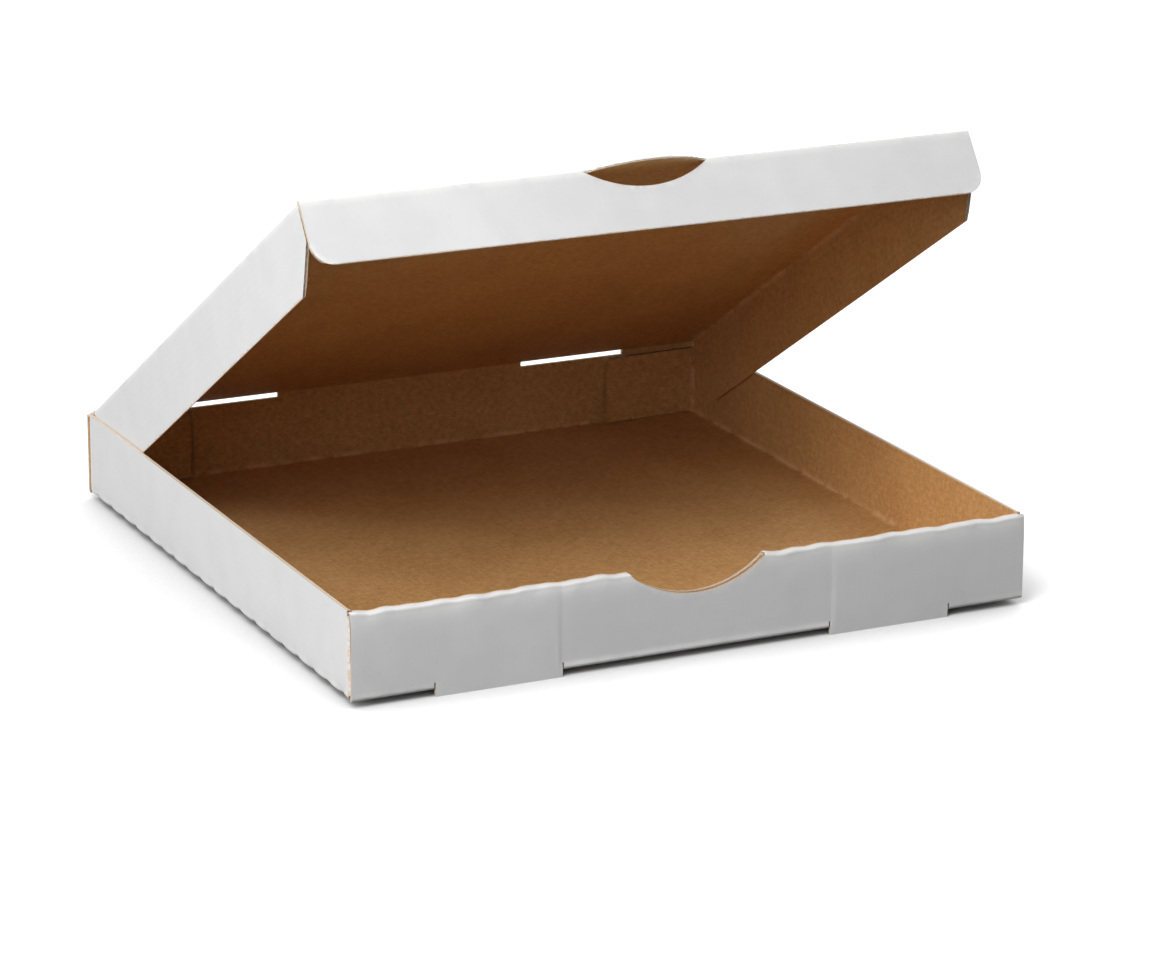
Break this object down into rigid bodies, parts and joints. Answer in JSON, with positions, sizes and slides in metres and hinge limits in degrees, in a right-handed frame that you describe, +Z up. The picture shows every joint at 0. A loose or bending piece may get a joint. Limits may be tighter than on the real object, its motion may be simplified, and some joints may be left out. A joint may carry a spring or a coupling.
{
  "type": "pizza box",
  "caption": "Square folding pizza box of corrugated board, white outside and kraft inside, with a roll-over front wall, hand notch and hinged tuck-in lid.",
  "frame": {"origin": "middle of the box on the surface that it stands on, under the tips of its front feet", "axes": "+Z up, front wall with the hand notch towards -Y, lid hinge along X at the rear"},
  "size_m": [0.33, 0.33, 0.2145],
  "materials": {
    "tray_board": "matte",
    "lid_board": "matte"
  },
  "bodies": {
    "tray": {"tray": "tray_board"},
    "lid": {"lid": "lid_board"}
  },
  "joints": [
    {"name": "lid_hinge", "type": "hinge", "parent": "tray", "child": "lid", "pos_m": [0, 0.1642, 0.0422], "axis": [-1, 0, 0], "range_deg": [-31.5, 155.5]}
  ]
}
